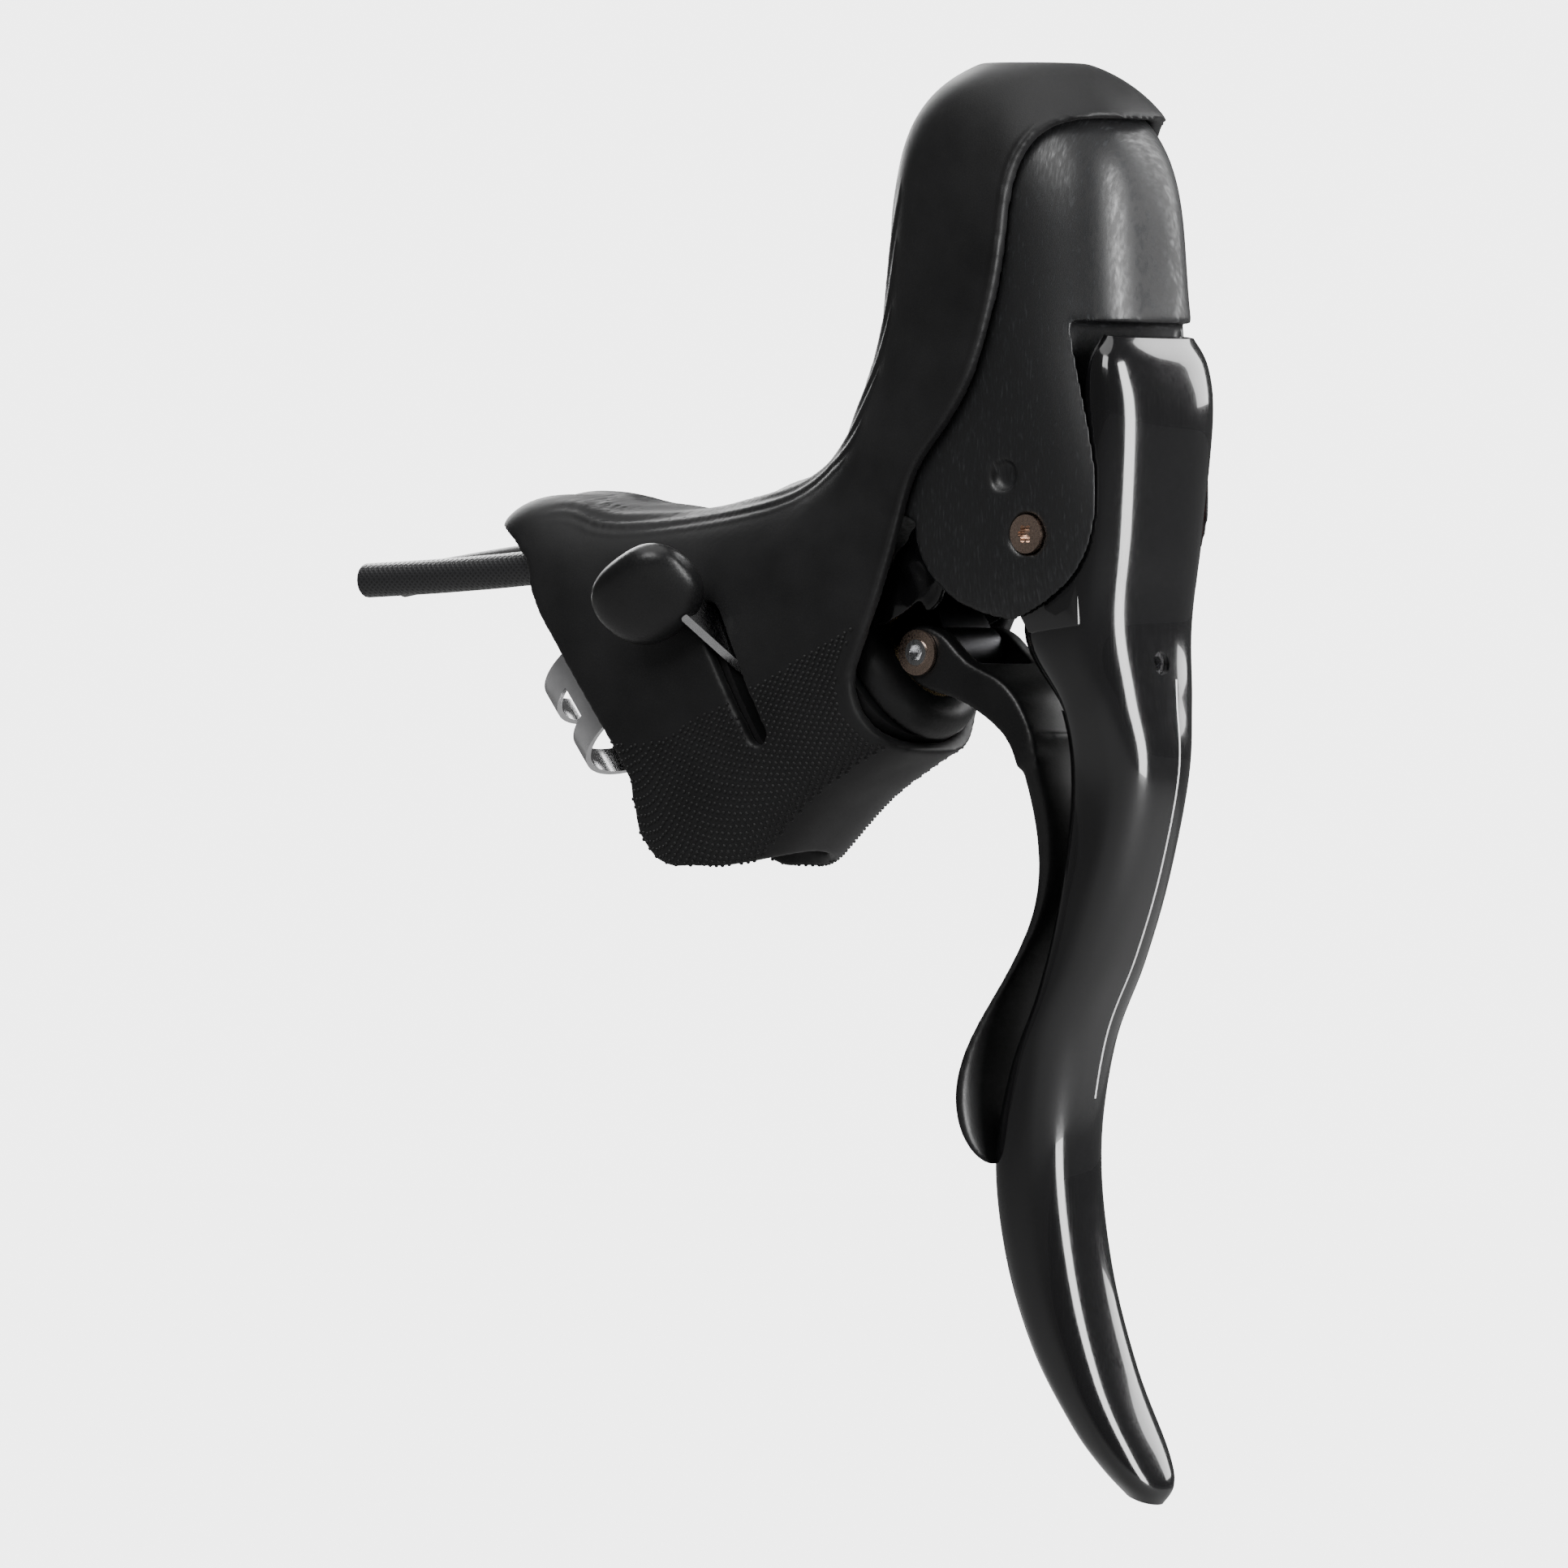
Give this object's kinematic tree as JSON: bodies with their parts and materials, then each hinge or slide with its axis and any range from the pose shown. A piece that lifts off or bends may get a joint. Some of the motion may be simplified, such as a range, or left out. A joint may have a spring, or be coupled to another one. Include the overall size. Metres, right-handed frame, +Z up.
{
  "type": "brake shift lever",
  "caption": "Left-hand drop-bar brake and shift lever with a tall hydraulic cylinder horn, rubber hood, brake blade, shift paddle, thumb button, hose and cable",
  "frame": {"origin": "on the handlebar's axis in the middle of the clamp", "axes": "+X forwards in riding direction, +Y towards the outer side of this left-hand lever, +Z up; the bar falls forwards at 53.5 degrees; the brake lever hangs down"},
  "size_m": [0.1501, 0.0466, 0.2042],
  "materials": {
    "hood_rubber": "soft matt moulded rubber with raised dots and ribs",
    "horn_gloss": "lacquered fibre-filled composite",
    "body_plastic": "glass-filled moulded body, matt",
    "blade_gloss": "deep gloss black lacquer",
    "paddle_matt": "matt black moulding",
    "thumb_plastic": "fine-textured black moulding",
    "polished_steel": "polished stainless strap",
    "bright_steel": "machined steel",
    "black_steel": "black oxide steel",
    "spring_steel": "drawn spring wire",
    "bronze": "copper-toned plated steel",
    "brass": "turned brass",
    "alloy": "turned aluminium",
    "seal_rubber": "smooth seal rubber",
    "boot_rubber": "glossy creased rubber film",
    "hose_black": "hose jacket with a faint spiral weave",
    "housing_black": "cable housing jacket"
  },
  "bodies": {
    "root": {"bracket_body": "body_plastic", "cylinder_housing": "horn_gloss", "rubber_hood": "hood_rubber", "clamp_band": "polished_steel", "clamp_yoke": "bright_steel", "clamp_bolt": "black_steel", "reservoir_cap": "body_plastic", "cover_screws": "black_steel", "bleed_screw": "bright_steel", "reservoir_bladder": "seal_rubber", "cylinder_plug": "alloy", "plug_seal": "seal_rubber", "lever_pivot_pin": "bright_steel", "pivot_screw": "bronze", "piston_spring": "spring_steel", "shift_shaft": "bright_steel", "shaft_clip": "spring_steel", "mechanism_bearings": "brass", "mechanism_cap": "body_plastic", "index_pawl": "bright_steel", "pawl_pin": "bright_steel", "drum_spring": "spring_steel", "thumb_spring": "spring_steel", "mechanism_boot": "boot_rubber", "hose_nut": "black_steel", "hose_olive": "brass", "hose_insert": "brass", "housing_ferrule": "brass", "brake_hose": "hose_black", "cable_housing": "housing_black", "shift_cable": "spring_steel"},
    "brake_lever": {"brake_lever": "blade_gloss", "reach_adjust_screw": "bright_steel", "lever_bushes": "brass", "lever_return_spring": "spring_steel"},
    "piston": {"piston": "alloy", "push_rod": "bright_steel", "piston_seals": "seal_rubber"},
    "rocker": {"paddle_rocker": "black_steel", "paddle_pin": "bright_steel", "pin_washer": "bronze"},
    "paddle": {"shift_paddle": "paddle_matt"},
    "drum": {"cable_drum": "alloy", "cable_nipple": "spring_steel", "index_ratchet": "bright_steel"},
    "thumb": {"thumb_lever_arm": "bright_steel", "thumb_button": "thumb_plastic"}
  },
  "joints": [
    {"name": "brake_pull", "type": "hinge", "parent": "root", "child": "brake_lever", "pos_m": [0.0817, 0, 0.021], "axis": [0, 1, 0], "range_deg": [0, 16], "stiffness_Nm_per_rad": 0.6, "springref_deg": -20.05},
    {"name": "piston_stroke", "type": "slide", "parent": "root", "child": "piston", "axis": [0, 0, 1], "range_m": [0, 0.0033], "deforming": ["piston_spring"]},
    {"name": "paddle_swing", "type": "hinge", "parent": "root", "child": "rocker", "pos_m": [0.0564, 0, 0.0071], "axis": [-0.891, 0, -0.454], "range_deg": [0, 25], "stiffness_Nm_per_rad": 0.15, "springref_deg": -17.19},
    {"name": "paddle_fold", "type": "hinge", "parent": "rocker", "child": "paddle", "pos_m": [0.05776, 0, 0.00443], "axis": [0, 1, 0], "range_deg": [0, 28.5]},
    {"name": "drum_turn", "type": "hinge", "parent": "root", "child": "drum", "pos_m": [0.0564, 0, 0.0071], "axis": [-0.891, 0, -0.454], "range_deg": [0, 25.5]},
    {"name": "thumb_press", "type": "hinge", "parent": "root", "child": "thumb", "pos_m": [0.0564, 0, 0.0071], "axis": [0.891, 0, 0.454], "range_deg": [0, 28], "stiffness_Nm_per_rad": 0.1, "springref_deg": -17.19}
  ],
  "couplings": [
    {"joint": "piston_stroke", "follows": "brake_pull", "m_per_rad": 0.0115},
    {"joint": "paddle_fold", "follows": "brake_pull", "ratio": 1.75},
    {"joint": "drum_turn", "follows": "paddle_swing", "ratio": 1}
  ]
}
